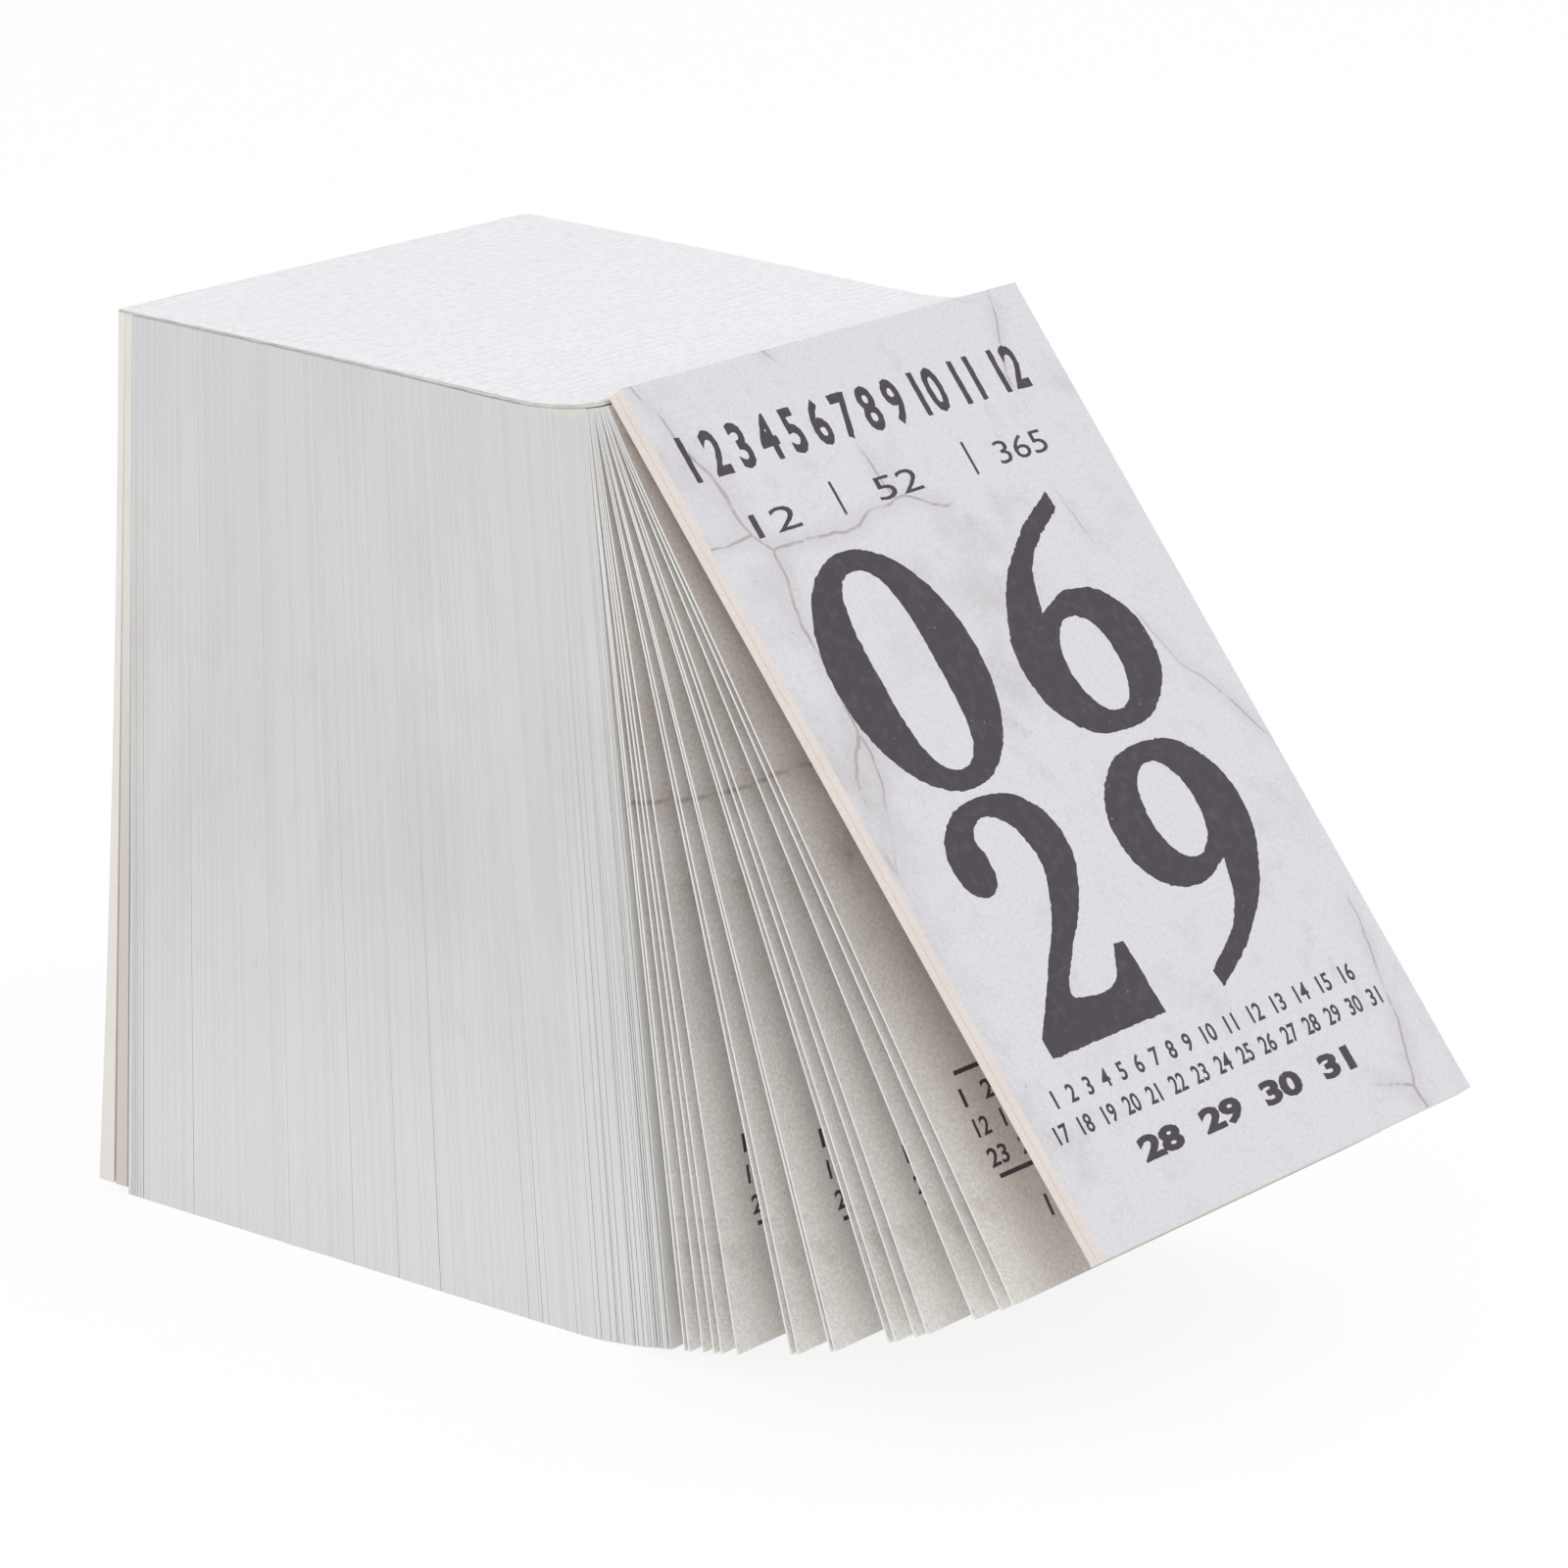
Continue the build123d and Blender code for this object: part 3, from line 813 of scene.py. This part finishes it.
def plaster_group():
    """A ground of aged plaster: a mottled tone with stains, thin cracks and specks."""
    tree, given, out = new_group("ShaderNodeTree", "aged_plaster", {
        "Vector": "Vector", "Ground": "Color", "Stain": "Color", "Crack": "Color",
        "Wear": "Float", "Grain": "Float",
    }, {"Color": "Color", "Height": "Float"})
    place = given["Vector"]
    wear = given["Wear"]
    patches = noise_node(tree, place, *PATCHES)
    mottle = noise_node(tree, mapped(tree, place, shift=MOTTLE_SHIFT), *MOTTLE)
    smudges = noise_node(tree, mapped(tree, place, shift=SMUDGE_SHIFT), *SMUDGES)
    grain = noise_node(tree, place, *GRAIN)
    bends = noise_node(tree, place, *CRACK_BENDS).node.outputs["Color"]
    crooked = vector_node(tree, "ADD", place, vector_node(tree, "SCALE", bends, CRACK_BEND))
    crack = result_of(tree, "ShaderNodeTexVoronoi", {"Vector": crooked, "Scale": CRACK_SCALE},
                      feature="DISTANCE_TO_EDGE")
    torn = ramp(tree, noise_node(tree, place, *TEARS), *TEAR_STEP)
    specks = noise_node(tree, place, *SPECKS)
    stains = (
        product(tree, ramp(tree, patches, *PATCH_STEP), wear, PATCH_SHARE),
        product(tree, ramp(tree, mottle, *MOTTLE_STEP), MOTTLE_SHARE),
        product(tree, ramp(tree, smudges, *SMUDGE_STEP), ramp(tree, grain, *SMUDGE_GRAIN), wear,
                SMUDGE_SHARE),
        product(tree, ramp(tree, crack, *HALO_STEP), torn, HALO_SHARE, wear),
    )
    least_wear = calc(tree, "MINIMUM", wear, 1.0)
    flaws = (
        product(tree, ramp(tree, crack, *CRACK_STEP), torn, ramp(tree, mottle, *CRACK_FADE), least_wear,
                CRACK_SHARE),
        product(tree, ramp(tree, specks, *SPECK_STEP), ramp(tree, patches, *SPECK_FADE), SPECK_SHARE),
    )
    colour = given["Ground"]
    for shares, tint in ((stains, given["Stain"]), (flaws, given["Crack"])):
        for share in shares:
            colour = mix_colour(tree, share, colour, tint)
    coarse = ramp(tree, noise_node(tree, place, *COARSE_GRAIN), *GRAIN_STEP)
    tooth = calc(tree, "ADD", ramp(tree, grain, *GRAIN_STEP), coarse)
    shade = calc(tree, "MULTIPLY_ADD", calc(tree, "SUBTRACT", tooth, 1.0), given["Grain"], 1.0)
    tree.links.new(vector_node(tree, "SCALE", colour, shade), out["Color"])
    tree.links.new(grain, out["Height"])
    return tree


aged_plaster = plaster_group()


def plaster_material(name, ground, stain, roughness, wear, grain, shift, lit_edge=None):
    """Paper or card printed with an aged plaster ground; if lit_edge is set, with painted shade towards the
    glue and painted light towards its sides and foot.
    """
    made, tree = new_material(name, roughness)
    flat = add_node(tree, "ShaderNodeTexCoord").outputs["UV"]
    place = mapped(tree, flat, shift=shift)
    plaster = add_node(tree, "ShaderNodeGroup", {
        "Vector": place, "Ground": ground, "Stain": stain, "Crack": CRACK_TINT, "Wear": wear, "Grain": grain,
    }, node_tree=aged_plaster)
    colour = plaster.outputs["Color"]
    if lit_edge:
        spot = split_vector(tree, flat)
        # painted light near the leaf's sides and foot, where light comes in between the fanned leaves
        beside = calc(tree, "ABSOLUTE", spot["X"])
        pale = calc(tree, "MAXIMUM", ramp(tree, spot["Y"], *LIT_EDGE_DROPS), LIT_EDGE_ABOVE)
        lit_share = product(tree, ramp(tree, beside, *LIT_EDGE_WIDTHS), pale)
        # painted shade near the glue, where the fanned leaves lie close and shade each other
        hinge_shaded = product(tree, ramp(tree, spot["Y"], *HINGE_SHADE_DROPS), HINGE_SHADE_SHARE)
        hinge_shaded = mix_colour(tree, hinge_shaded, ground, LEAF_HINGE_SHADE)
        tree.links.new(mix_colour(tree, lit_share, hinge_shaded, lit_edge), plaster.inputs["Ground"])
        tree.links.new(calc(tree, "MULTIPLY_ADD", lit_share, -wear, wear), plaster.inputs["Wear"])
        rubbed = ramp(tree, beside, LEAF_WIDTH / 2 - WORN_RIM, LEAF_WIDTH / 2 - WORN_RIM / 2)
        colour = mix_colour(tree, rubbed, colour, LEAF_WHITE)
    finish_surface(tree, colour, plaster.outputs["Height"], PRINT_DEPTH)
    return made


def leaf_paper_material():
    """The paper of a loose leaf, which keeps the painted shade of the closed stack near the glue."""
    made, tree = new_material("leaf_paper", PAPER_ROUGHNESS)
    felted = fibre(tree, object_place(tree), FIBRE_SIZE)
    colour = mix_colour(tree, ramp(tree, felted["Tone"], *TONE_STEP), LEAF_WHITE_DEEP, LEAF_WHITE)
    drop = split_vector(tree, add_node(tree, "ShaderNodeTexCoord").outputs["UV"])["Y"]
    # painted shade of the closed stack near the glue, fading to white lower down
    colour = mix_colour(tree, ramp(tree, drop, *LOOSE_DROPS), SHADED_PAPER_WHITE, colour)
    finish_surface(tree, colour, felted["Height"], FIBRE_DEPTH)
    return made


def ink_material():
    """Dark ink, worn unevenly, with bare spots where it missed the paper."""
    made, tree = new_material("printing_ink", INK_ROUGHNESS)
    place = object_place(tree)
    worn = noise_node(tree, place, *INK_WEAR)
    colour = mix_colour(tree, ramp(tree, worn, *INK_STEP), INK, INK_WORN)
    bare = ramp(tree, noise_node(tree, place, *BARE_SPOTS), *BARE_STEP)
    finish_surface(tree, mix_colour(tree, bare, colour, LEAF_GROUND), worn, INK_BUMP)
    return made


def flat_mesh(curve):
    """The plain mesh of a filled text or outline, which is then removed."""
    holder = bpy.data.objects.new("mark", curve)
    bpy.context.collection.objects.link(holder)
    seen = holder.evaluated_get(bpy.context.evaluated_depsgraph_get())
    mesh = bpy.data.meshes.new_from_object(seen)
    bpy.data.objects.remove(holder)
    return mesh


def add_rough(marks, mesh, amount):
    """Adds a flat mesh to the marks, its outline broken up as letterpress on rough paper does.

    The triangles are then joined into one flat fill, since some have come to lie over others.
    """
    shape = bmesh.new()
    shape.from_mesh(mesh)
    bmesh.ops.remove_doubles(shape, verts=shape.verts, dist=MARK_POINT)
    rims = {}
    for edge in shape.edges:
        if edge.is_boundary and edge.calc_length() > OUTLINE_STEP:
            rims.setdefault(math.ceil(edge.calc_length() / OUTLINE_STEP) - 1, []).append(edge)
    for cuts, edges in rims.items():
        bmesh.ops.subdivide_edges(shape, edges=edges, cuts=cuts)
    for vert in shape.verts:
        if vert.is_boundary:
            strays = (noise.noise_vector(vert.co * waves) * strength for waves, strength in STRAYS)
            shift = sum(strays, Vector())
            vert.co += Vector((shift.x, shift.y, 0)) * amount
    bmesh.ops.triangulate(shape, faces=shape.faces)
    shape.verts.index_update()
    shape.normal_update()
    spots = [vert.co.xy for vert in shape.verts]
    faces = []
    for face in shape.faces:
        if face.normal.z < 0:
            face.normal_flip()
        faces.append([vert.index for vert in face.verts])
    shape.free()
    spots, _, faces, _, _, owners = geometry.delaunay_2d_cdt(spots, [], faces, 0, CUT_POINT, True)
    covered = [face for face, owner in zip(faces, owners) if owner]
    mesh.clear_geometry()
    mesh.from_pydata([(x, y, 0) for x, y in spots], [], covered)
    marks.from_mesh(mesh)


def add_figures(marks, text, left, base, height, width=None, weight=0.0):
    """A row of figures from its left end and its base line."""
    curve = bpy.data.curves.new("figures", "FONT")
    curve.body = text
    curve.resolution_u = max(FIGURE_STEPS, round(height / STEP_HEIGHT))
    curve.offset = weight
    mesh = flat_mesh(curve)
    xs = [vert.co.x for vert in mesh.vertices]
    ys = [vert.co.y for vert in mesh.vertices]
    tall = height / (max(ys) - min(ys))
    wide = width / (max(xs) - min(xs)) if width else tall
    scale = Matrix.Diagonal((wide, tall, 1, 1))
    mesh.transform(Matrix.Translation((left, -base, 0)) @ scale @ Matrix.Translation((-min(xs), -min(ys), 0)))
    add_rough(marks, mesh, min(ROUGHNESS * height, NUMERAL_ROUGHNESS))


def add_bar(marks, left, top, right, bottom):
    """A plain rule or bar."""
    mesh = bpy.data.meshes.new("bar")
    corners = [(left, bottom), (right, bottom), (right, top), (left, top)]
    mesh.from_pydata([(x, -y, 0) for x, y in corners], [], [(0, 1, 2, 3)])
    add_rough(marks, mesh, ROUGHNESS)


def counted(first, last, space="  "):
    """The numbers from first to last as one row of text."""
    return space.join(str(number) for number in range(first, last + 1))


def bow_at(share):
    """How far a sheet bows at a share of its length, straight between the rows that the tree bends."""
    row = share * (LEAF_ROWS - 1)
    above = math.floor(row)
    ends = []
    for level in (above, above + 1):
        away = level / (LEAF_ROWS - 1) / BOW_REACH
        ends.append(BOW_GAIN * away * max(0.0, 1 - away) ** 2)
    return ends[0] + (row - above) * (ends[1] - ends[0])


def print_marks(piece, marks, sheet, bow=0.0):
    """Lays flat marks as a thin film of ink on the front of a sheet, with its print's coordinates."""
    top = sheet["top_front"]
    down = sheet["foot_front"] - top
    length = down.length
    down.normalize()
    out = down.cross(Vector((1, 0, 0)))
    if bow:
        for row in range(1, math.ceil(BOW_REACH * (LEAF_ROWS - 1)) + 1):
            cut = (0, -MILLIMETRES * length * row / (LEAF_ROWS - 1), 0)
            pieces = marks.verts[:] + marks.edges[:] + marks.faces[:]
            bmesh.ops.bisect_plane(marks, geom=pieces, dist=CUT_POINT, plane_co=cut, plane_no=(0, 1, 0))
        bmesh.ops.triangulate(marks, faces=marks.faces)
    raised = bmesh.ops.extrude_face_region(marks, geom=marks.faces[:], use_keep_orig=True)["geom"]
    for vert in raised:
        if isinstance(vert, bmesh.types.BMVert):
            vert.co.z += INK_DEPTH
    bmesh.ops.recalc_face_normals(marks, faces=marks.faces)
    for vert in marks.verts:
        x, y, z = (value / MILLIMETRES for value in vert.co)
        z -= INK_DEPTH / 2 / MILLIMETRES
        flat = top + Vector((x - LEAF_WIDTH / 2, 0, 0)) - down * y + out * z
        vert.co = flat + Vector((0, bow * bow_at(-y / length), 0))
    for face in marks.faces:
        face.material_index = len(piece.data.materials)
    marks.from_mesh(piece.data)
    layer = marks.loops.layers.uv.verify()
    for face in marks.faces:
        for loop in face.loops:
            spot = loop.vert.co - top
            loop[layer].uv = (spot.x, spot.dot(down))
    marks.to_mesh(piece.data)
    marks.free()
    piece.data.materials.append(ink)


noise.seed_set(PRINT_SEED)
ink = ink_material()
leaf_paper = leaf_paper_material()
leaf_print = plaster_material("leaf_print", LEAF_GROUND, LEAF_STAIN, LEAF_ROUGHNESS, LEAF_WEAR, LEAF_GRAIN,
                              LEAF_SHIFT, LEAF_LIT_EDGE)
months = counted(1, 12, " ")
fanned = sorted(node for node in frame["nodes"] if node.startswith("leaf_"))
for date, node in enumerate(fanned, 1):
    sheet = leaf_edges(node)[0]
    bow = BOW_STEP * (len(fanned) + 1 - date)
    piece = paper_piece("day_" + node, [sheet], {
        "Rows": LEAF_ROWS, "Columns": LEAF_COLUMNS, "Wave": 0.0, "Bow": bow,
        "Paper": leaf_paper, "Front": leaf_print,
    })
    marks = bmesh.new()
    add_figures(marks, months, *LEAF_MONTHS)
    add_figures(marks, f"{date:02d}", *LEAF_DATE)
    add_bar(marks, *LEAF_RULES[0])
    for first, last, *row in LEAF_DAYS:
        add_figures(marks, counted(first, last), *row)
    add_bar(marks, *LEAF_RULES[1])
    add_figures(marks, f"{date} / 365", *LEAF_COUNT)
    print_marks(piece, marks, sheet, bow)
    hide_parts(node)
    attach(piece, node)


# Front inner card: a plain sheet of thick cream card behind the cover, cut flush with it.
# It is held along its upper edge, and its hinge there opens and closes the fan.
CREAM_CARD = (0.825, 0.765, 0.71, 1)
CREAM_CARD_DEEP = (0.785, 0.715, 0.655, 1)

cream_card = card_material("cream_card", CREAM_CARD, CREAM_CARD_DEEP)
card_piece("front_inner_card", "front_inner_card_sheet", [cream_card])


# Front cover: thick card with cream cut edges, its face printed with an aged plaster ground and
# rough dark figures. It is held at its upper edge and hangs forward over the fanned leaves.
COVER_ROUGHNESS = 0.55
COVER_WEAR = 1.3
COVER_GRAIN = 0.075
COVER_SHIFT = (0.85, 0.77, 0.71)
COVER_GROUND = (0.71, 0.703, 0.738, 1)
COVER_STAIN = (0.52, 0.485, 0.50, 1)
FACE_TURN = 0.5  # least share of a face's normal that points forward on the printed face
ROUND = "AUTO"
SHARP = "VECTOR"
NUMERAL_STEPS = 10
# Outlines of the large numerals in millimetres, 22 high. Points are round where they aren't sharp
TWO = [[
    (0.6, 16.6), (1.6, 20.2), (8, 22.5), (14.2, 20.6), (16, 16.6),
    (13.6, 11.6), (9, 7.4), (6.3, 4.3), (6.6, 3.9, SHARP), (12.2, 3.9),
    (14.6, 6.9, SHARP), (16, 6.9, SHARP), (16.4, 0, SHARP), (0, 0, SHARP), (0, 1.9, SHARP),
    (5.4, 7.2), (10.2, 12.6), (11.4, 16.6), (8.4, 20.6), (5.2, 19.6),
    (5.4, 17.4), (4.6, 14.9), (2.2, 14.5),
]]
NOUGHT = [
    [(9.8, 0), (19.6, 11.35), (9.8, 22.7), (0, 11.35)],
    [(9.8, 1.9), (13.7, 11.35), (9.8, 20.8), (5.9, 11.35)],
]
SIX = [
    [(15.4, 22.1, SHARP), (8.2, 18.6), (2.2, 13.2), (0, 7.6), (2.6, 2),
     (9.2, 0), (15.8, 2), (18.4, 6.8), (16.2, 11.6), (11.2, 13.2),
     (6.4, 11.9, SHARP), (8.6, 16.2), (15.7, 20.5, SHARP)],
    [(9.4, 1.8), (13, 6.6), (9.8, 10.9), (5.9, 6.8)],
]
SIX_SIZE = (18.4, 22.1)
NINE = [[(SIX_SIZE[0] - x, SIX_SIZE[1] - y, *sharp) for x, y, *sharp in loop] for loop in SIX]
NUMERALS = (  # outlines, left end and base line
    (NOUGHT, 5.4, 41.4), (SIX, 29.0, 41.1), (TWO, 6.8, 64.7), (NINE, 29.0, 64.7),
)
COVER_MONTHS = (2.8, 9.7, 4.5, 47.9, 0.03)
COVER_COUNTS = (("12", 6.4, 15.6, 2.2, 6.0), ("52", 23.4, 15.6, 2.2, 6.2), ("365", 41.0, 15.6, 2.2, 7.2))
COVER_BARS = ((18.1, 12.6, 18.45, 15.8), (37.1, 12.6, 37.45, 15.8))
COVER_DAYS = (
    (1, 16, 4.2, 68.6, 1.7, 45.0, 0.02),
    (17, 31, 2.2, 71.4, 1.7, 48.8, 0.02),
    (28, 31, 11.0, 75.6, 2.3, 32.0, 0.05),
)


def add_numeral(marks, loops, left, base):
    """A large numeral from its outlines, its left end and its base line."""
    curve = bpy.data.curves.new("numeral", "CURVE")
    curve.dimensions = "2D"
    curve.fill_mode = "BOTH"
    curve.resolution_u = NUMERAL_STEPS
    for loop in loops:
        spline = curve.splines.new("BEZIER")
        spline.use_cyclic_u = True
        spline.bezier_points.add(len(loop) - 1)
        for point, (x, y, *sharp) in zip(spline.bezier_points, loop):
            point.co = (left + x, y - base, 0)
            point.handle_left_type = point.handle_right_type = SHARP if sharp else ROUND
    add_rough(marks, flat_mesh(curve), NUMERAL_ROUGHNESS)


cover_face = plaster_material("cover_face", COVER_GROUND, COVER_STAIN, COVER_ROUGHNESS, COVER_WEAR,
                              COVER_GRAIN, COVER_SHIFT)
sheet = leaf_edges("front_cover")[0]
facing = (sheet["foot_front"] - sheet["top_front"]).normalized().cross(Vector((1, 0, 0)))
cover = card_piece("front_cover", "front_cover_card", [cream_card, cover_face],
                   lambda normal: int(normal.dot(facing) > FACE_TURN))
marks = bmesh.new()
add_figures(marks, months, *COVER_MONTHS)
for text, *row in COVER_COUNTS:
    add_figures(marks, text, *row)
for bar in COVER_BARS:
    add_bar(marks, *bar)
for numeral in NUMERALS:
    add_numeral(marks, *numeral)
for first, last, *row in COVER_DAYS:
    add_figures(marks, counted(first, last), *row)
print_marks(cover, marks, sheet)


# Camera: at the photograph's viewing angle, from a fit to the edges of the object.
LENS = 155.577
SENSOR_WIDTH = 36
CLIP_START = 0.01
VIEW_AZIMUTH = -53.6159
VIEW_ELEVATION = 16.7644
VIEW_ROLL = 1.893
VIEW_DISTANCE = 0.5886344
VIEW_TARGET = (0, 0.000033, 0.0405)
VIEW_OFFSET = (0.000215, 0.0020576)

azimuth = math.radians(VIEW_AZIMUTH)
elevation = math.radians(VIEW_ELEVATION)
roll = math.radians(VIEW_ROLL)
level = math.cos(elevation)
back = Vector((math.sin(azimuth) * level, -math.cos(azimuth) * level, math.sin(elevation)))
right = Vector((0, 0, 1)).cross(back).normalized()
up = back.cross(right)
right, up = right * math.cos(roll) + up * math.sin(roll), up * math.cos(roll) - right * math.sin(roll)
camera_data = bpy.data.cameras.new("camera")
camera_data.lens = LENS
camera_data.sensor_width = SENSOR_WIDTH
camera_data.clip_start = CLIP_START
camera = bpy.data.objects.new("camera", camera_data)
bpy.context.collection.objects.link(camera)
stand = Vector(VIEW_TARGET) + back * VIEW_DISTANCE + right * VIEW_OFFSET[0] + up * VIEW_OFFSET[1]
turned = Matrix((right, up, back)).transposed()
camera.matrix_world = Matrix.Translation(stand) @ turned.to_4x4()
bpy.context.scene.camera = camera


# Stage: a white floor that keeps a soft shadow, an even white surround and two large soft lamps.
WHITE = (1, 1, 1, 1)
FLOOR_SIZE = 6.0
FLOOR_TONE = (0.9, 0.9, 0.9, 1)
FLOOR_WHITE = 0.82  # share of plain white in the floor as the camera sees it
FLOOR_GLOW = 0.35  # the same for the light that it throws back
FLOOR_STRENGTH = 1.05
SURROUND = 0.72  # strength of the surround's light, which is 1 as the camera sees it
LAMPS = (  # place, power and size of each lamp
    (Vector((0.30, -0.75, 0.95)), 3.2, 0.9),
    (Vector((-0.95, -0.40, 0.30)), 2.6, 0.9),
)


def seen_or_lit(tree, seen, lit):
    """One value where the camera sees a thing, straight or reflected, another for the light it gives."""
    rays = add_node(tree, "ShaderNodeLightPath").outputs
    shown = calc(tree, "ADD", rays["Is Camera Ray"], rays["Is Glossy Ray"])
    shown = calc(tree, "ADD", shown, rays["Is Transmission Ray"])
    return result_of(tree, "ShaderNodeMapRange", {"Value": shown, "To Min": lit, "To Max": seen})


bpy.context.scene.view_settings.view_transform = "Standard"
world = bpy.data.worlds.new("surround")
world.use_nodes = True
background = world.node_tree.nodes["Background"]
background.inputs["Color"].default_value = WHITE
world.node_tree.links.new(seen_or_lit(world.node_tree, 1.0, SURROUND), background.inputs["Strength"])
bpy.context.scene.world = world

floor_mesh = bpy.data.meshes.new("floor")
half = FLOOR_SIZE / 2
corners = [(-half, -half, 0), (half, -half, 0), (half, half, 0), (-half, half, 0)]
floor_mesh.from_pydata(corners, [], [(0, 1, 2, 3)])
floor = bpy.data.objects.new("floor", floor_mesh)
bpy.context.collection.objects.link(floor)
floor_white = bpy.data.materials.new("floor_white")
floor_white.use_nodes = True
floor_tree = floor_white.node_tree
floor_tree.nodes.clear()
matt = result_of(floor_tree, "ShaderNodeBsdfDiffuse", {"Color": FLOOR_TONE})
bright = result_of(floor_tree, "ShaderNodeEmission", {"Color": WHITE, "Strength": FLOOR_STRENGTH})
shown = seen_or_lit(floor_tree, FLOOR_WHITE, FLOOR_GLOW)
blended = result_of(floor_tree, "ShaderNodeMixShader", {0: shown, 1: matt, 2: bright})
add_node(floor_tree, "ShaderNodeOutputMaterial", {"Surface": blended})
floor_mesh.materials.append(floor_white)

for lamp_place, power, size in LAMPS:
    lamp_data = bpy.data.lights.new("soft_lamp", "AREA")
    lamp_data.energy = power
    lamp_data.size = size
    lamp = bpy.data.objects.new("soft_lamp", lamp_data)
    bpy.context.collection.objects.link(lamp)
    aim = (lamp_place - Vector(VIEW_TARGET)).to_track_quat("Z", "Y").to_matrix().to_4x4()
    lamp.matrix_world = Matrix.Translation(lamp_place) @ aim
